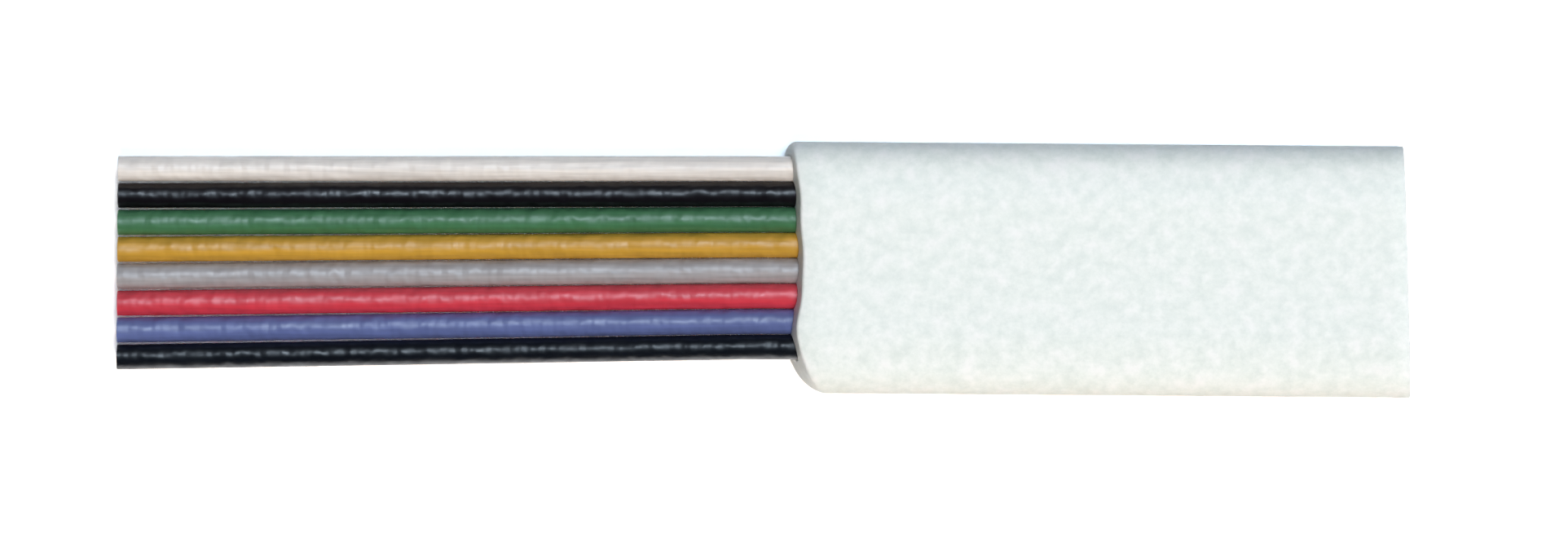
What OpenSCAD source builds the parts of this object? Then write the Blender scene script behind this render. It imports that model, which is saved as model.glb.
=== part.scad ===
// Flat eight-wire telephone cable, a short straight piece stripped at one end.
// The cable lies along X and its bared wires point towards -X. It rests on the jacket's flat
// underside, and the origin is the middle of that underside. Sizes are millimetres.

/* [Cable] */
// Length of jacket from the strip cut to the far end, along its middle
jacket_l = 19.9; // [12:0.1:60]
// Length of wire bared in front of the strip cut
bare_l = 22.1; // [5:0.1:26]
// Jacket left above and below the row of wires
flat_wall = 0.84; // [0.4:0.01:1.2]
// Jacket left beyond the first wire, at the +Y edge
near_wall = 0.48; // [0.4:0.02:1.5]
// Jacket left beyond the last wire, at the -Y edge
far_wall = 1.09; // [0.4:0.01:1.5]
// Radius of the shoulder between a flat face and a round edge
shoulder_r = 5; // [3:0.5:6]
// Angle through which a shoulder turns, in degrees
shoulder_turn = 15; // [5:1:18]

/* [Wires] */
// Diameter of a wire over its insulation
wire_d = 0.82; // [0.7:0.01:1.1]
// Gap between neighbouring wires in the jacket
wire_gap = 0.01; // [0.01:0.01:0.1]
// Gap between a wire and the groove that the jacket forms round it
groove_gap = 0.015; // [0.01:0.005:0.05]
// Height of the slit that joins the grooves between the wires
slit_h = 0.2; // [0.1:0.05:0.5]
// Angle at which the first wire leaves the jacket, in degrees
first_turn = 0.44; // [0.1:0.01:1]
// Angle between one bared wire and the next, in degrees
fan_turn = 0.13; // [0.05:0.01:0.3]
// Distance from the strip cut to where the wires turn
turn_ahead = 1.2; // [1:0.1:3]

/* [Conductors] */
// Diameter of one copper strand
strand_d = 0.16; // [0.1:0.01:0.2]
// Gap between the core strand and the strands laid round it
strand_gap = 0.005; // [0.004:0.001:0.01]
// Gap between the bundle of strands and the insulation
bundle_gap = 0.007; // [0.005:0.001:0.03]
// Length along the wire in which a laid strand goes once round the core
lay_l = 21; // [15:1:40]
// Turn of the bundle from one wire to the next, in degrees
lay_shift = 25; // [0:5:60]

/* [Cuts] */
// Skew of the plain cut at the far end, in degrees
far_skew = 2; // [0:0.5:4]
// Lean of the strip cut, which leaves its lower lip forward, in degrees
strip_lean = 11; // [0:1:20]
// Skew of the strip cut across the cable, in degrees
strip_skew = 2; // [0:0.5:4]
// Radius of the shallow hollow of the strip cut
strip_hollow_r = 70; // [20:1:200]
// Radius of the corner that the blade rounded off at the +Y edge
near_corner_r = 0.6; // [0.4:0.05:1.8]
// Radius of the corner that the blade rounded off at the -Y edge
far_corner_r = 1.6; // [0.4:0.05:1.8]
// How far past the jacket's edge each corner's arc would touch a line along the cable
corner_past = 0.25; // [0.05:0.01:0.3]

/* [Hidden] */
$fn = 64;

// Name and colour of each wire, from the +Y edge to the -Y edge
WIRES = [
    ["white", "#e1dcda"],
    ["black", "#141118"],
    ["green", "#4f9f74"],
    ["yellow", "#caa03e"],
    ["grey", "#a9aeb6"],
    ["red", "#cc4352"],
    ["blue", "#6379b4"],
    ["black_2", "#10161b"]
];
JACKET_COLOUR = "#eef0ea";
COPPER = "#b87345";

wire_count = len(WIRES);
last_wire = wire_count - 1;
pitch = wire_d + wire_gap;
jacket_w = near_wall + wire_count * wire_d + last_wire * wire_gap + far_wall;
jacket_t = wire_d + 2 * flat_wall;
axis_z = jacket_t / 2;
edge_r = (jacket_t / 2 - shoulder_r * (1 - cos(shoulder_turn))) / cos(shoulder_turn);
flat_w = jacket_w - 2 * edge_r - 2 * (shoulder_r - edge_r) * sin(shoulder_turn);

far_x = jacket_l / 2;
strip_x = -jacket_l / 2;
turn_x = strip_x - turn_ahead;
front_x = strip_x - bare_l;
// Longer than anything in the cable, for shapes that are cut back afterwards
reach = 2 * (jacket_l + bare_l);

strand_r = strand_d / 2;
lay_r = strand_d + strand_gap;
bore_r = lay_r + strand_r + bundle_gap;
// Strands that fit side by side round a core of their own diameter
LAID = 6;
// Sides of a laid strand's section, which turns one of its flats to the core
SIDES = 6;
STEPS_PER_LAY = 12;
// Longest step of the arcs in the jacket's outline, in degrees
ARC_STEP = 3;
bare_steps = ceil(STEPS_PER_LAY * (turn_x - front_x) / lay_l);
covered_steps = ceil(STEPS_PER_LAY * (far_x - turn_x) / lay_l);
// Places along X of the rings of a laid strand, one of them where the wires turn
STATIONS = [
    for (k = [0 : bare_steps]) front_x + (turn_x - front_x) * k / bare_steps,
    for (k = [1 : covered_steps]) turn_x + (far_x - turn_x) * k / covered_steps
];

// Distance of wire i from the middle of the jacket, inside the jacket
function row_y(i) = jacket_w / 2 - near_wall - wire_d / 2 - i * pitch;

// Angle at which wire i leaves the jacket
function turn(i) = first_turn + i * fan_turn;

// Distance of wire i from the middle of the jacket, anywhere along X
function wire_y(i, x) = row_y(i) + min(x - turn_x, 0) * tan(turn(i));

// Points of an arc of radius r about [y, z], without the one that it starts from
function arc(y, z, r, start, end) =
    let (steps = ceil(abs(end - start) / ARC_STEP))
    [
        for (k = [1 : steps])
            let (a = start + (end - start) * k / steps)
            [y + r * cos(a), z + r * sin(a)]
    ];

// Section of the jacket: flat faces, long shoulders and round edges, each tangent to the next
module jacket_outline() {
    join = 90 - shoulder_turn;
    shoulder_z = jacket_t / 2 - shoulder_r;
    half_outline = concat(
        [[flat_w / 2, jacket_t / 2]],
        arc(flat_w / 2, shoulder_z, shoulder_r, 90, join),
        arc(jacket_w / 2 - edge_r, 0, edge_r, join, -join),
        arc(flat_w / 2, -shoulder_z, shoulder_r, -join, -90)
    );
    polygon(concat(half_outline, [for (point = half_outline) -point]));
}

// Section of the space that the row of wires fills: round grooves joined by a slit
module row_outline() {
    for (i = [0 : last_wire])
        translate([row_y(i), 0])
            circle(d = wire_d + 2 * groove_gap);
    translate([row_y(last_wire), -slit_h / 2])
        square([last_wire * pitch, slit_h]);
}

// How far the far cut lies ahead of far_x at a distance y from the middle
function far_lead(y) = -y * tan(far_skew);

// Everything between the two plain cuts: the wires' ends are cut square, the far end askew
module between_end_cuts() {
    translate([0, 0, -jacket_t])
        linear_extrude(3 * jacket_t)
            polygon([
                [front_x, -jacket_w],
                [far_x + far_lead(-jacket_w), -jacket_w],
                [far_x + far_lead(jacket_w), jacket_w],
                [front_x, jacket_w]
            ]);
}

// Plan of the bite at the corner on the +Y side: outside an arc of radius r that runs out of
// the hollow, tangent to it
module corner_bite(r) {
    y = jacket_w / 2 + corner_past - r;
    x = sqrt(pow(strip_hollow_r + r, 2) - y * y) - strip_hollow_r;
    touch_y = y * strip_hollow_r / (strip_hollow_r + r);
    difference() {
        translate([-jacket_t, touch_y])
            square([jacket_t + x, jacket_t]);
        translate([x, y])
            circle(r = r);
    }
}

// What the stripping blade takes off: a little hollow between two rounded corners, leaning
// and askew
module strip_cut() {
    translate([strip_x, 0, axis_z])
        rotate([0, strip_lean, strip_skew])
            linear_extrude(4 * jacket_t, center = true) {
                translate([-strip_hollow_r, 0])
                    circle(r = strip_hollow_r, $fn = 360);
                corner_bite(near_corner_r);
                mirror([0, 1])
                    corner_bite(far_corner_r);
            }
}

// The outer sheath, pressed out round the row of wires in one go
module jacket() {
    start_x = strip_x - turn_ahead;
    color(JACKET_COLOUR)
        intersection() {
            difference() {
                translate([start_x, 0, axis_z])
                    rotate([90, 0, 90])
                        linear_extrude(reach)
                            difference() {
                                jacket_outline();
                                row_outline();
                            }
                strip_cut();
            }
            between_end_cuts();
        }
}

// Round bar along X, as long as it can be needed
module bar(r) {
    rotate([0, 90, 0])
        cylinder(h = 2 * reach, r = r, center = true);
}

// Everything on one side of the plane across X, +1 behind it or -1 in front
module half(side) {
    translate([side * 2 * reach, 0, 0])
        cube(4 * reach, center = true);
}

// Round bar along the whole of wire i, mitred where the wire turns
module wire_bar(i, r) {
    translate([turn_x, row_y(i), axis_z]) {
        intersection() {
            bar(r);
            rotate([0, 0, turn(i) / 2]) half(1);
        }
        intersection() {
            rotate([0, 0, turn(i)]) bar(r);
            rotate([0, 0, turn(i) / 2]) half(-1);
        }
    }
}

// The coloured tube of plastic round the strands of wire i
module insulation(i) {
    color(WIRES[i][1])
        intersection() {
            difference() {
                wire_bar(i, wire_d / 2);
                wire_bar(i, bore_r);
            }
            between_end_cuts();
        }
}

// The straight strand in the middle of wire i
module core_strand(i) {
    color(COPPER)
        intersection() {
            wire_bar(i, strand_r);
            between_end_cuts();
        }
}

// Corner c of strand k's section at x: it follows the wire's axis and winds round it, and
// towards the far end its ring comes to lie in the far cut
function strand_point(i, k, x, c) =
    let (
        a = 360 * (x / lay_l + k / LAID) + i * lay_shift,
        b = a + 360 * (c + 0.5) / SIDES,
        y = wire_y(i, x) + lay_r * cos(a) + strand_r * cos(b),
        z = axis_z + lay_r * sin(a) + strand_r * sin(b),
        covered = max((x - turn_x) / (far_x - turn_x), 0)
    )
    [x + covered * far_lead(y), y, z];

// The strands of wire i that are laid round its core strand, each one a swept shell
module laid_strands(i) {
    rings = len(STATIONS);
    shell = rings * SIDES;
    points = [
        for (k = [0 : LAID - 1], x = STATIONS, c = [0 : SIDES - 1]) strand_point(i, k, x, c)
    ];
    faces = [
        for (k = [0 : LAID - 1]) each [
            [for (c = [0 : SIDES - 1]) k * shell + c],
            for (r = [0 : rings - 2], c = [0 : SIDES - 1])
                let (
                    a = k * shell + r * SIDES + c,
                    b = k * shell + r * SIDES + (c + 1) % SIDES
                )
                each [[a, a + SIDES, b], [b, a + SIDES, b + SIDES]],
            [for (c = [SIDES - 1 : -1 : 0]) k * shell + (rings - 1) * SIDES + c]
        ]
    ];
    color(COPPER)
        polyhedron(points, faces);
}

jacket();
for (i = [0 : last_wire]) {
    insulation(i);
    core_strand(i);
    laid_strands(i);
}
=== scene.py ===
"""A short straight piece of flat eight-wire telephone cable, stripped at one end.

The cable lies along X with its bared wires towards -X, on the flat underside of its jacket.
The sections follow the cable as it is put together, after the view: the eight wires'
insulation, the copper strands inside it, the jacket pressed out round the row, and last the
floor and the lights. Lengths are written in millimetres and multiplied by MM.
"""

import bpy
import numpy as np
from mathutils import Matrix, Vector


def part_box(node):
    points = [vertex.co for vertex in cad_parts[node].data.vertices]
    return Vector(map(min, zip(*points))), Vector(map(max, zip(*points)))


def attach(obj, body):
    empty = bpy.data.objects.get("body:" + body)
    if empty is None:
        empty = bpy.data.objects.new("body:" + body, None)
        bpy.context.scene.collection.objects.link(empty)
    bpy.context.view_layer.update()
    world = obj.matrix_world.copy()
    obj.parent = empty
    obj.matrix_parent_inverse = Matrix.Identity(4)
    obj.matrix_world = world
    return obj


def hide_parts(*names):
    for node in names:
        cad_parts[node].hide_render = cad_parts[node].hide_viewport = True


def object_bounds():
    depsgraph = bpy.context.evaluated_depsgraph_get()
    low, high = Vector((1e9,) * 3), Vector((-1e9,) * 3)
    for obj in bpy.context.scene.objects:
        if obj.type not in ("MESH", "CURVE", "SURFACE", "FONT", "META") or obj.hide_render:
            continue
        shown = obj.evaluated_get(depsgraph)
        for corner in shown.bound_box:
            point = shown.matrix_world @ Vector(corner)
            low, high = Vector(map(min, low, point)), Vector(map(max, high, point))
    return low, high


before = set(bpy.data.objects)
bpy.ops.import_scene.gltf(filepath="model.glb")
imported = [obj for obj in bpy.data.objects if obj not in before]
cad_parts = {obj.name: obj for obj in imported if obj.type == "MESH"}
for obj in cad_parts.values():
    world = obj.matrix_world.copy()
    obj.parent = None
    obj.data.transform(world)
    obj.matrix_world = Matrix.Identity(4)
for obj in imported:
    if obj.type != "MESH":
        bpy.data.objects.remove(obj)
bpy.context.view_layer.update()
MM = 0.001

# ---------------------------------------------------------------------------------------
# The view. A long lens looks straight down on the cable, so the stripped face shows only by
# its own lean. The view is turned a touch, and the cable lies a little off its middle.
PICTURE_W = 51.09 * MM
PICTURE_MIDDLE = Vector((-10.33, -0.4, 1.25)) * MM
VIEW_ROLL = np.radians(0.44)
# The lens and the sensor, in the camera's own millimetres
LENS = 300
SENSOR = 36

camera_data = bpy.data.cameras.new("view")
camera_data.lens = LENS
camera_data.sensor_width = SENSOR
camera = bpy.data.objects.new("view", camera_data)
camera.location = PICTURE_MIDDLE + Vector((0, 0, PICTURE_W * LENS / SENSOR))
camera.rotation_euler = (0, 0, VIEW_ROLL)
bpy.context.scene.collection.objects.link(camera)
bpy.context.scene.camera = camera

# ---------------------------------------------------------------------------------------
# The insulation of the eight wires. Each is a tube of coloured polyethylene, pressed out
# round its strands and shiny from the die. The wires lie side by side in the jacket and fan
# out very slightly where they are bared, each one turning a little more than its neighbour.
JACKET_L = 19.9 * MM
FAR_SKEW = np.radians(2)
STRAND_GAP = 0.005 * MM
BUNDLE_GAP = 0.007 * MM
# The wires turn this far ahead of the strip cut: the first by so much, each next one by more
TURN_AHEAD = 1.2 * MM
TURN_SOFTNESS = 0.5 * MM
FIRST_TURN = np.radians(0.44)
FAN_TURN = np.radians(0.13)
# Each bared wire rises and falls by a little, and every wire at a pace and a place of its own
WAVE_HEIGHT = 0.05 * MM
WAVE_LENGTH = 11 * MM
WAVE_LONGER = 1 * MM
WAVE_SHIFT = 0.37
# Of each wire's compound: its colour, how strongly it shines, how rough its skin is, and the
# height of its ripples. The two blacks are smoother and calmer than the rest.
WIRES = {
    "white": ("#e6e0da", 0.8, 0.44, 0.1 * MM),
    "black": ("#090409", 0.48, 0.33, 0.08 * MM),
    "green": ("#3d704a", 0.85, 0.44, 0.1 * MM),
    "yellow": ("#c59530", 0.8, 0.44, 0.1 * MM),
    "grey": ("#a09d9f", 1.0, 0.44, 0.1 * MM),
    "red": ("#cc3443", 1.0, 0.44, 0.1 * MM),
    "blue": ("#59669b", 1.0, 0.44, 0.1 * MM),
    "black_2": ("#03060f", 0.43, 0.33, 0.08 * MM),
}

wire_boxes = [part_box(f"insulation_{name}") for name in WIRES]
wire_r = (wire_boxes[0][1].z - wire_boxes[0][0].z) / 2
row_y = [high.y - wire_r for low, high in wire_boxes]
jacket_low, jacket_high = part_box("jacket")
axis_z = (jacket_low.z + jacket_high.z) / 2
# The far cut is askew, so the jacket reaches furthest at its -Y edge
far_x = jacket_high.x + jacket_low.y * np.tan(FAR_SKEW)
strip_x = far_x - JACKET_L
turn_x = strip_x - TURN_AHEAD
front_x = wire_boxes[0][0].x
core_low, core_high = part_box("core_strand_white")
strand_r = (core_high.z - core_low.z) / 2
lay_r = 2 * strand_r + STRAND_GAP
bore_r = lay_r + strand_r + BUNDLE_GAP


def wire_axis(i, x):
    """Middle of wire i at x. It runs straight in the jacket and then along a line turned by
    a small angle, with a hyperbola between the two and a slow wave that grows ahead."""
    ahead = turn_x - x
    sideways = (ahead + np.sqrt(ahead**2 + TURN_SOFTNESS**2)) / 2
    share = np.clip((strip_x - x) / (strip_x - front_x), 0, 1)
    turns = x / (WAVE_LENGTH + i * WAVE_LONGER) + i * WAVE_SHIFT
    wave = share * np.sin(2 * np.pi * turns)
    y = row_y[i] - sideways * np.tan(FIRST_TURN + i * FAN_TURN)
    return np.stack([x, y, axis_z + WAVE_HEIGHT * wave], axis=-1)


def swept(i, x, across, up):
    """Grid of points round wire i: across and up from its middle, by ring and place. Towards
    the far end the rings come to lie in the far cut."""
    points = wire_axis(i, x)[:, None, :] + np.stack([0 * up, across, up], -1)
    covered = np.maximum((points[..., 0] - turn_x) / (far_x - turn_x), 0)
    points[..., 0] -= covered * points[..., 1] * np.tan(FAR_SKEW)
    return points


# A ridge sharper than this keeps its edge, and all else is shaded smooth
SHARP = np.radians(40)


def skin(name, shells, capped):
    """Mesh of grids of points, each of which closes round its rings. The last ring joins the
    first, or each end is closed with a flat cap."""
    faces, used = [], 0
    for points in shells:
        rings, sides = points.shape[:2]
        i, j = np.meshgrid(np.arange(rings - capped), np.arange(sides), indexing="ij")
        beside = (j + 1) % sides
        ahead = (i + 1) % rings * sides
        corners = [i * sides + j, i * sides + beside, ahead + beside, ahead + j]
        faces += (used + np.stack(corners, -1).reshape(-1, 4)).tolist()
        if capped:
            ends = used + np.arange(rings * sides).reshape(rings, sides)
            faces += [ends[0, ::-1].tolist(), ends[-1].tolist()]
        used += rings * sides
    mesh = bpy.data.meshes.new(name)
    mesh.from_pydata(np.concatenate([p.reshape(-1, 3) for p in shells]).tolist(), [], faces)
    mesh.shade_smooth()
    mesh.set_sharp_from_angle(angle=SHARP)
    return mesh


def piece(name, mesh, material):
    """A finished piece of the cable, riding on its one body."""
    made = bpy.data.objects.new(name, mesh)
    mesh.materials.append(material)
    bpy.context.scene.collection.objects.link(made)
    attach(made, "root")
    return made


def linear(hex_colour):
    """Linear RGBA of an sRGB colour written as #rrggbb."""
    c = np.array([int(hex_colour[k : k + 2], 16) for k in (1, 3, 5)]) / 255
    c = np.where(c <= 0.04045, c / 12.92, ((c + 0.055) / 1.055) ** 2.4)
    return (*c, 1)


def add(material, kind, inputs=None, **settings):
    """Adds a node to a material, with its settings, and with numbers or links on its inputs."""
    tree = material.node_tree
    node = tree.nodes.new(kind)
    for name, value in settings.items():
        setattr(node, name, value)
    for socket, value in (inputs or {}).items():
        if isinstance(value, bpy.types.NodeSocket):
            tree.links.new(value, node.inputs[socket])
        else:
            node.inputs[socket].default_value = value
    return node.outputs


def bare_material(name):
    """A node material with nothing in it yet."""
    material = bpy.data.materials.new(name)
    material.use_nodes = True
    material.node_tree.nodes.clear()
    return material


POLYETHYLENE_IOR = 1.53
# By how much the skin is rougher where the wire has been handled
DULLED_BY = 0.12


def insulation_polyethylene(name, colour, gloss, rough, ripple):
    """Extruded polyethylene, coloured through, shiny from the die: the skin ripples a little
    over the strands, so the gloss runs along the wire in dashes, and fine lines follow it
    where the die dragged."""
    made = bare_material(f"polyethylene_insulation_{name}")
    place = add(made, "ShaderNodeTexCoord")["Object"]
    # Die lines about 0.05 mm apart, drawn at 0.12 mm so that they show
    stretched = {"Vector": place, "Scale": (0.05, 1, 1)}
    along = add(made, "ShaderNodeMapping", stretched)["Vector"]
    fine = {"Vector": along, "Scale": 1 / (0.12 * MM), "Detail": 3.0}
    lines = add(made, "ShaderNodeTexNoise", fine)["Fac"]
    # Ripples 0.45 mm apart along the wire and 0.67 mm apart round it
    squeezed = {"Vector": place, "Scale": (1, 0.67, 0.67)}
    waves = add(made, "ShaderNodeMapping", squeezed)["Vector"]
    coarse = {"Vector": waves, "Scale": 1 / (0.45 * MM), "Detail": 1.0}
    waves = add(made, "ShaderNodeTexNoise", coarse)["Fac"]
    # Patches 0.9 mm across, in which the skin is duller
    patches = {"Vector": place, "Scale": 1 / (0.9 * MM), "Detail": 4.0}
    patches = add(made, "ShaderNodeTexNoise", patches)["Fac"]
    tone = {"Value": lines, "From Min": 0.3, "From Max": 0.7, "To Min": 0.86, "To Max": 1.1}
    tone = add(made, "ShaderNodeMapRange", tone)["Result"]
    base = {0: linear(colour)[:3], "Scale": tone}
    base = add(made, "ShaderNodeVectorMath", base, operation="SCALE")["Vector"]
    dulled = {"Value": patches, "From Min": 0.3, "From Max": 0.7}
    dulled |= {"To Min": rough, "To Max": rough + DULLED_BY}
    dulled = add(made, "ShaderNodeMapRange", dulled)["Result"]
    bump = {"Height": waves, "Distance": ripple}
    bump = add(made, "ShaderNodeBump", bump)["Normal"]
    bump = {"Height": lines, "Strength": 0.3, "Distance": 0.006 * MM, "Normal": bump}
    bump = add(made, "ShaderNodeBump", bump)["Normal"]
    plastic = {"Base Color": base, "Roughness": dulled, "Normal": bump}
    plastic |= {"IOR": POLYETHYLENE_IOR, "Specular IOR Level": gloss}
    shader = add(made, "ShaderNodeBsdfPrincipled", plastic)["BSDF"]
    add(made, "ShaderNodeOutputMaterial", {"Surface": shader})
    return made


# Rings along a wire, the places round a tube, and the points of a wire's path
STATIONS = 120
SIDES = 48
# By how much the edges of a cut tube are eased
EDGE = 0.015 * MM

down = np.linspace(front_x + EDGE, far_x - EDGE, STATIONS)
round_angle = np.linspace(0, 2 * np.pi, SIDES, endpoint=False)
# The outside, the far cut, the bore and the front cut, as one closed line of places along
# the wire and radii, with each edge eased by two points
wall_x = np.concatenate([down, [far_x, far_x], down[::-1], [front_x, front_x]])
wall_r = np.concatenate(
    [
        np.full(STATIONS, wire_r),
        [wire_r - EDGE, bore_r + EDGE],
        np.full(STATIONS, bore_r),
        [bore_r + EDGE, wire_r - EDGE],
    ]
)
wall_y = wall_r[:, None] * np.cos(round_angle)
wall_z = wall_r[:, None] * np.sin(round_angle)
for i, (name, compound) in enumerate(WIRES.items()):
    points = swept(i, wall_x, wall_y, wall_z)
    slot = f"insulation_{name}"
    material = insulation_polyethylene(name, *compound)
    tube = piece(f"{name}_insulation", skin(name, [points], False), material)
    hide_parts(slot)

# ---------------------------------------------------------------------------------------
# The conductors. Each wire holds seven strands of soft bare copper: one runs straight down
# the middle, and six are laid round it in a long twist. They are cut flush at both ends.
LAY_L = 21 * MM
LAY_SHIFT = np.radians(25)
LAID = 6
STRAND_SIDES = 16
STRAND_EDGE = 0.01 * MM


def drawn_copper():
    """Bare copper, drawn through dies: bright, with lines along it, dulled in patches where
    it has begun to tarnish."""
    made = bare_material("drawn_copper")
    place = add(made, "ShaderNodeTexCoord")["Object"]
    # Drawing lines a few microns apart, drawn at 0.03 mm so that they show
    stretched = {"Vector": place, "Scale": (0.04, 1, 1)}
    along = add(made, "ShaderNodeMapping", stretched)["Vector"]
    lines = {"Vector": along, "Scale": 1 / (0.03 * MM), "Detail": 2.0}
    lines = add(made, "ShaderNodeTexNoise", lines)["Fac"]
    # Patches of tarnish 0.3 mm across
    patches = {"Vector": place, "Scale": 1 / (0.3 * MM), "Detail": 3.0}
    patches = add(made, "ShaderNodeTexNoise", patches)["Fac"]
    base = {0: patches, 6: linear("#e09a6c"), 7: linear("#b06a40")}
    base = add(made, "ShaderNodeMix", base, data_type="RGBA")[2]
    rough = {"Value": patches, "From Min": 0.3, "From Max": 0.7, "To Min": 0.22, "To Max": 0.42}
    rough = add(made, "ShaderNodeMapRange", rough)["Result"]
    bump = {"Height": lines, "Strength": 0.3, "Distance": 0.004 * MM}
    bump = add(made, "ShaderNodeBump", bump)["Normal"]
    metal = {"Base Color": base, "Roughness": rough, "Normal": bump, "Metallic": 1.0}
    shader = add(made, "ShaderNodeBsdfPrincipled", metal)["BSDF"]
    add(made, "ShaderNodeOutputMaterial", {"Surface": shader})
    return made


copper = drawn_copper()
strand_angle = np.linspace(0, 2 * np.pi, STRAND_SIDES, endpoint=False)
# Both cut edges of a strand are eased by a last ring a little smaller than the rest
strand_x = np.concatenate([[front_x], down, [far_x]])
eased_r = strand_r - STRAND_EDGE
strand_radii = np.concatenate([[eased_r], np.full(STATIONS, strand_r), [eased_r]])
round_y = strand_radii[:, None] * np.cos(strand_angle)
round_z = strand_radii[:, None] * np.sin(strand_angle)
for i, name in enumerate(WIRES):
    core = swept(i, strand_x, round_y, round_z)
    rod = piece(f"{name}_core_strand", skin(name, [core], True), copper)
    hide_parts(f"core_strand_{name}")
    laid = []
    for k in range(LAID):
        lay = 2 * np.pi * (strand_x / LAY_L + k / LAID) + i * LAY_SHIFT
        winding_y = lay_r * np.cos(lay)[:, None] + round_y
        winding_z = lay_r * np.sin(lay)[:, None] + round_z
        laid.append(swept(i, strand_x, winding_y, winding_z))
    rope = piece(f"{name}_laid_strands", skin(name, laid, True), copper)
    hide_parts(f"laid_strands_{name}")

# ---------------------------------------------------------------------------------------
# The jacket. Soft white PVC, pressed out round the whole row in one go, so its inside is
# scalloped by the wires. A blade has torn it through at one end, a little askew, and has
# rounded off its corners; the other end is cut straight off with the wires.
STRIP_LEAN = np.radians(11)
STRIP_SKEW = np.radians(2)
HOLLOW_R = 70 * MM
NEAR_CORNER_R = 0.6 * MM
FAR_CORNER_R = 1.6 * MM
CORNER_PAST = 0.25 * MM
# The tongue that the tear left: its middle, half its width and how far it stands out
TONGUE_Y = -1.9 * MM
TONGUE_HALF = 0.85 * MM
TONGUE = 0.23 * MM
# The wave of the tear: its height, and the way along it that one radian takes
TEAR_WAVE = 0.02 * MM
TEAR_RADIAN = 0.3 * MM
SHOULDER_R = 5 * MM
SHOULDER_TURN = np.radians(15)
SLIT_H = 0.2 * MM
GROOVE_GAP = 0.015 * MM
GROOVE_POINTS = 24
# Radii to which the edges of the strip cut and of the far cut are eased
STRIP_EDGE = 0.08 * MM
FAR_EDGE = 0.03 * MM
PVC_IOR = 1.53
# How often a search halves its range, and how often a point on the strip cut is put right
HALVINGS = 40
ROUNDS = 4

half_t = (jacket_high.z - jacket_low.z) / 2
half_w = jacket_high.y
groove_r = wire_r + GROOVE_GAP
slit_angle = np.arcsin(SLIT_H / 2 / groove_r)
edge_r = (half_t - SHOULDER_R * (1 - np.cos(SHOULDER_TURN))) / np.cos(SHOULDER_TURN)
flat_y = half_w - edge_r - (SHOULDER_R - edge_r) * np.sin(SHOULDER_TURN)


def outline_z(y):
    """Height of the jacket's outline at y from its middle: flat, then the arc of a shoulder,
    then the arc of an edge, each tangent to the one before."""
    beyond = np.abs(y) - flat_y
    shoulder = half_t - SHOULDER_R + np.sqrt(SHOULDER_R**2 - np.clip(beyond, 0, SHOULDER_R) ** 2)
    edge = np.sqrt(np.maximum(edge_r**2 - (np.abs(y) - half_w + edge_r) ** 2, 0))
    return np.where(beyond > SHOULDER_R * np.sin(SHOULDER_TURN), edge, shoulder)


def to_outside(y, angle):
    """Where a line from (y, 0) at an angle meets the outline, found by halving."""
    near, far = np.zeros_like(angle), np.full_like(angle, half_w)
    for _ in range(HALVINGS):
        middle = (near + far) / 2
        inside_it = middle * np.sin(angle) < outline_z(y + middle * np.cos(angle))
        near, far = np.where(inside_it, middle, near), np.where(inside_it, far, middle)
    return np.stack([y + near * np.cos(angle), near * np.sin(angle)], axis=-1)


# The upper half of the grooves, from the +Y edge to the -Y edge, and the outline beyond it.
# Past the middle of the first and last wire the two are matched along rays from that wire,
# and elsewhere straight up.
half_inside, half_outside = [], []
for i, y in enumerate(row_y):
    first = 0 if i == 0 else slit_angle
    last = np.pi if i == len(row_y) - 1 else np.pi - slit_angle
    angle = np.linspace(first, last, GROOVE_POINTS)
    groove = np.stack([y + groove_r * np.cos(angle), groove_r * np.sin(angle)], axis=-1)
    beyond = (i == 0) & (angle < np.pi / 2) | (i == len(row_y) - 1) & (angle > np.pi / 2)
    half_inside.append(groove)
    half_outside.append(
        to_outside(np.where(beyond, y, groove[:, 0]), np.where(beyond, angle, np.pi / 2))
    )
upper_in, upper_out = np.concatenate(half_inside), np.concatenate(half_outside)
# The lower half mirrors it, less the two points that they share
mirror = np.array([1, -1])
inside = np.concatenate([upper_in, upper_in[-2:0:-1] * mirror])
outside = np.concatenate([upper_out, upper_out[-2:0:-1] * mirror])


def strip_plan(y):
    """Plan of the stripped face: a wide arc, which runs out at each side into the arc of a
    corner, tangent to it."""
    r = np.where(y > 0, NEAR_CORNER_R, FAR_CORNER_R)
    corner_y = half_w + CORNER_PAST - r
    corner_x = np.sqrt((HOLLOW_R + r) ** 2 - corner_y**2) - HOLLOW_R
    touch_y = corner_y * HOLLOW_R / (HOLLOW_R + r)
    corner = corner_x - np.sqrt(np.maximum(r**2 - (np.abs(y) - corner_y) ** 2, 0))
    hollow = np.sqrt(HOLLOW_R**2 - y**2) - HOLLOW_R
    return np.where(np.abs(y) > touch_y, corner, hollow)


def strip_cut(y, z):
    """X of the stripped face at y and z from the jacket's middle: its plan is leant back and
    turned askew, so y in the plan is found in a few rounds. It has torn a little unevenly,
    which left a low tongue."""
    x = np.zeros_like(y)
    for _ in range(ROUNDS):
        in_plan = strip_plan(y * np.cos(STRIP_SKEW) - x * np.sin(STRIP_SKEW))
        leant = in_plan / np.cos(STRIP_LEAN) + z * np.tan(STRIP_LEAN)
        x = (leant - y * np.sin(STRIP_SKEW)) / np.cos(STRIP_SKEW)
    tongue = TONGUE * np.exp(-(((y - TONGUE_Y) / TONGUE_HALF) ** 2))
    tear = TEAR_WAVE * np.sin(y / TEAR_RADIAN) - tongue
    return strip_x + x + tear


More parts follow.
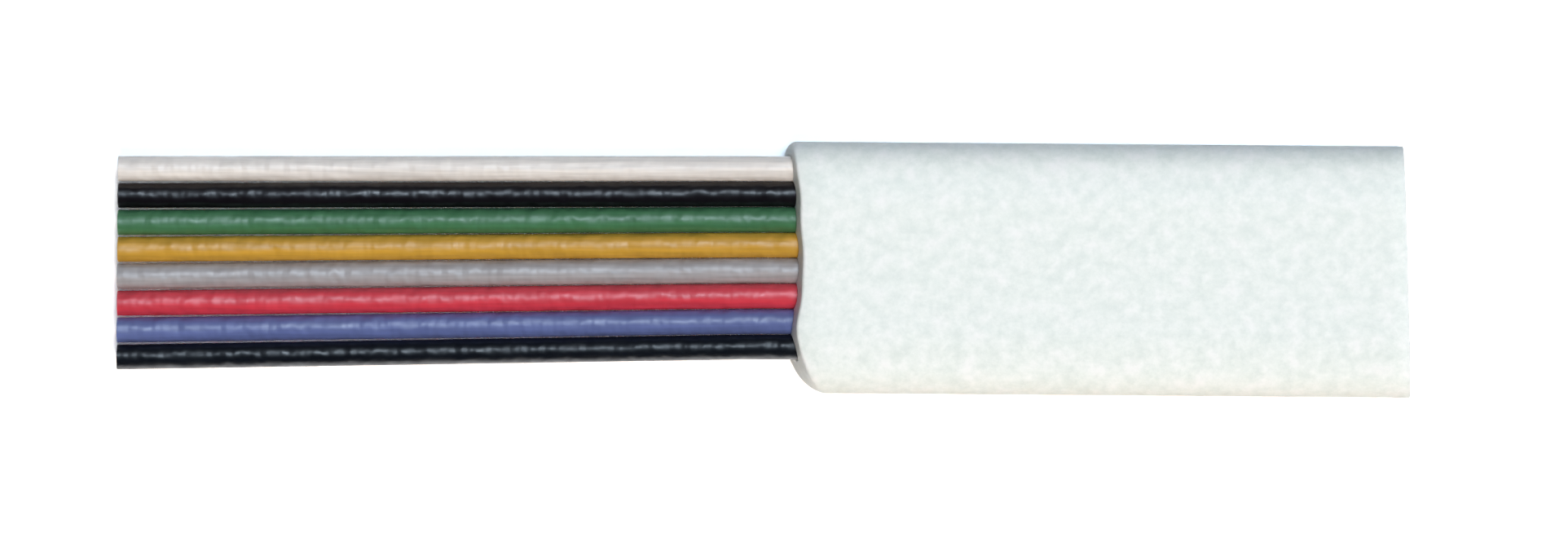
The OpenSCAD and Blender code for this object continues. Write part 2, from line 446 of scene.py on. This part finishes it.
# One closed line of places: along the outside, over the far cut, back along the grooves and
# over the stripped face. A place lies in the wall at the share a of the way from the outside
# to the inside, and b deeper; and along the jacket at the share s, and off further. ALONG,
# ACROSS and EASE count the places along a wall, across a cut and over an eased edge.
ALONG = 30
ACROSS = 9
EASE = 4
share = np.linspace(0, 1, ALONG)
between = np.linspace(0, 1, ACROSS)[1:-1]
quarter = np.linspace(0, np.pi / 2, EASE + 1)[1:]


def along_wall(a):
    """Places along the outside, a = 0, or the grooves, a = 1, between the two eased edges."""
    off = STRIP_EDGE * (1 - share) - FAR_EDGE * share
    return np.stack([np.full(ALONG, a), np.zeros(ALONG), share, off])


def over_cut(edge, s, inwards):
    """Places over a cut from the outside in: a rounded edge, the flat face, a rounded edge.
    inwards is +1 or -1, the way from the cut into the jacket."""
    sink = edge * (1 - np.cos(quarter))
    off = inwards * edge * (1 - np.sin(quarter))
    a = np.concatenate([np.zeros(EASE), between, np.ones(EASE)])
    b = np.concatenate([sink, edge * (1 - 2 * between), -sink[::-1]])
    off = np.concatenate([off, np.zeros(len(between)), off[::-1]])
    return np.stack([a, b, np.full(len(a), s), off])


line = np.concatenate(
    [
        along_wall(0.0),
        over_cut(FAR_EDGE, 1.0, -1),
        along_wall(1.0)[:, ::-1],
        over_cut(STRIP_EDGE, 0.0, 1)[:, ::-1],
    ],
    axis=1,
)
a, b, s, off = line[..., None]
depth = a + b / np.linalg.norm(inside - outside, axis=-1)
yz = outside + depth[..., None] * (inside - outside)
start = strip_cut(yz[..., 0], yz[..., 1])
end = far_x - yz[..., 0] * np.tan(FAR_SKEW)
jacket_x = start + s * (end - start) + off
jacket_points = np.concatenate([jacket_x[..., None], yz + [0, axis_z]], axis=-1)


def jacket_pvc():
    """Extruded soft PVC, white, with a satin skin: finely pebbled, with faint lines along it
    from the die, and clouded a little where the skin is smoother."""
    made = bare_material("pvc_jacket")
    place = add(made, "ShaderNodeTexCoord")["Object"]
    # Clouds 0.5 mm across, and die lines 0.25 mm apart
    clouds = {"Vector": place, "Scale": 1 / (0.5 * MM), "Detail": 5.0, "Roughness": 0.7}
    clouds = add(made, "ShaderNodeTexNoise", clouds)["Fac"]
    stretched = {"Vector": place, "Scale": (0.08, 1, 1)}
    along = add(made, "ShaderNodeMapping", stretched)["Vector"]
    lines = {"Vector": along, "Scale": 1 / (0.25 * MM), "Detail": 3.0}
    lines = add(made, "ShaderNodeTexNoise", lines)["Fac"]
    # Pebbles of about 0.05 mm, drawn at 0.12 mm so that they show
    pebbles = {"Vector": place, "Scale": 1 / (0.12 * MM), "Detail": 2.0}
    pebbles = add(made, "ShaderNodeTexNoise", pebbles)["Fac"]
    spread = {"Value": clouds, "From Min": 0.35, "From Max": 0.65}
    spread = add(made, "ShaderNodeMapRange", spread)["Result"]
    base = {0: spread, 6: linear("#e4ebe7"), 7: linear("#f5faf6")}
    base = add(made, "ShaderNodeMix", base, data_type="RGBA")[2]
    rough = {"Value": clouds, "From Min": 0.3, "From Max": 0.7, "To Min": 0.42, "To Max": 0.56}
    rough = add(made, "ShaderNodeMapRange", rough)["Result"]
    drag = {"Height": lines, "Strength": 0.25, "Distance": 0.01 * MM}
    drag = add(made, "ShaderNodeBump", drag)["Normal"]
    bump = {"Height": pebbles, "Strength": 0.3, "Distance": 0.01 * MM, "Normal": drag}
    bump = add(made, "ShaderNodeBump", bump)["Normal"]
    pvc = {"Base Color": base, "Roughness": rough, "Normal": bump}
    pvc |= {"IOR": PVC_IOR, "Specular IOR Level": 0.3}
    # Light sinks about 0.2 mm into white PVC, so the torn edge glows
    pvc |= {"Subsurface Weight": 1.0, "Subsurface Radius": (1, 1, 1)}
    pvc["Subsurface Scale"] = 0.2 * MM
    shader = add(made, "ShaderNodeBsdfPrincipled", pvc)["BSDF"]
    add(made, "ShaderNodeOutputMaterial", {"Surface": shader})
    return made


sheath = piece("cable_jacket", skin("jacket", [jacket_points], False), jacket_pvc())
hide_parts("jacket")

# ---------------------------------------------------------------------------------------
# The floor and the light: a white card under three softboxes and two low lamps, in a dim
# room with white walls. The cool key leans to +Y and the warm side light to -Y, so the
# jacket's two shoulders differ in tone. They stand a little to +X, which keeps the face of
# the strip cut in shade.
FLOOR_HALF = 3000 * MM
FLOOR_DROP = 0.02 * MM
# The share of light that the card gives back where it is seen itself, and elsewhere
CARD_SEEN = 2.4
CARD_PLAIN = 0.35
# The room is dim and a little cool. Its walls are white up to WALL_TOP and have faded out at
# WALL_FADE, which are the sines of the angles at which they are seen above the floor.
ROOM_DIM = (0.045, 0.05, 0.06, 1)
WHITE = (1, 1, 1, 1)
WALL_TOP = 0.02
WALL_FADE = 0.1


def seen_itself(owner):
    """1 where a thing is seen directly, in a gloss or through something clear, and 0 where it
    only passes light on to others."""
    path = add(owner, "ShaderNodeLightPath")
    direct = {0: path["Is Camera Ray"], 1: path["Is Glossy Ray"]}
    direct = add(owner, "ShaderNodeMath", direct, operation="MAXIMUM")[0]
    either = {0: direct, 1: path["Is Transmission Ray"]}
    return add(owner, "ShaderNodeMath", either, operation="MAXIMUM")[0]


def white_card():
    """Matt white card. Where it is seen itself it is brighter than white, so that only the
    deeper shadows on it show, and on the cable it throws little light."""
    made = bare_material("white_card")
    bright = add(made, "ShaderNodeBsdfDiffuse", {"Color": (*[CARD_SEEN] * 3, 1)})["BSDF"]
    plain = add(made, "ShaderNodeBsdfDiffuse", {"Color": (*[CARD_PLAIN] * 3, 1)})["BSDF"]
    both = {0: seen_itself(made), 1: plain, 2: bright}
    both = add(made, "ShaderNodeMixShader", both)["Shader"]
    add(made, "ShaderNodeOutputMaterial", {"Surface": both})
    return made


floor_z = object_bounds()[0].z - FLOOR_DROP
corner = FLOOR_HALF * np.array([[-1, -1], [1, -1], [1, 1], [-1, 1]])
floor_mesh = bpy.data.meshes.new("floor")
floor_mesh.from_pydata([(*c, floor_z) for c in corner], [], [(0, 1, 2, 3)])
floor_mesh.materials.append(white_card())
floor = bpy.data.objects.new("floor", floor_mesh)
bpy.context.scene.collection.objects.link(floor)


def softbox(name, at, width, watts, colour):
    """A square lamp that faces the cable. Its place and its width are in millimetres."""
    data = bpy.data.lights.new(name, "AREA")
    data.size = width * MM
    data.energy = watts
    data.color = colour
    lamp = bpy.data.objects.new(name, data)
    place = Vector(at) * MM
    lamp.matrix_world = Matrix.LocRotScale(place, place.to_track_quat("Z", "Y"), None)
    bpy.context.scene.collection.objects.link(lamp)
    return lamp


softbox("key", at=(150, 250, 1160), width=460, watts=7.1, colour=(0.66, 0.83, 1))
side = softbox("side", at=(150, -420, 1120), width=340, watts=9.7, colour=(1, 0.865, 0.74))
side.visible_glossy = False
# This one only shines in the gloss of the wires, as a bright line along each
glint = softbox("glint", at=(150, 310, 1150), width=300, watts=2.7, colour=(0.9, 0.95, 1))
glint.visible_diffuse = False
# Two low lamps reach the jacket's -Y edge and the far cut, and not the floor under the wires
low = softbox("low", at=(0, -1000, 55), width=90, watts=2.2, colour=(1, 0.9, 0.74))
low.visible_glossy = False
behind = softbox("behind", at=(1000, 0, 100), width=150, watts=3, colour=(0.9, 0.95, 1))
behind.visible_glossy = False

world = bpy.data.worlds.new("room")
world.use_nodes = True
world.node_tree.nodes.clear()
way = add(world, "ShaderNodeTexCoord")["Generated"]
height = add(world, "ShaderNodeSeparateXYZ", {"Vector": way})["Z"]
walls = {"Value": height, "From Min": WALL_FADE, "From Max": WALL_TOP}
walls["To Max"] = seen_itself(world)
walls = add(world, "ShaderNodeMapRange", walls)["Result"]
colour = {0: walls, 6: ROOM_DIM, 7: WHITE}
colour = add(world, "ShaderNodeMix", colour, data_type="RGBA")[2]
room = add(world, "ShaderNodeBackground", {"Color": colour})["Background"]
add(world, "ShaderNodeOutputWorld", {"Surface": room})
bpy.context.scene.world = world
bpy.context.scene.view_settings.view_transform = "Standard"
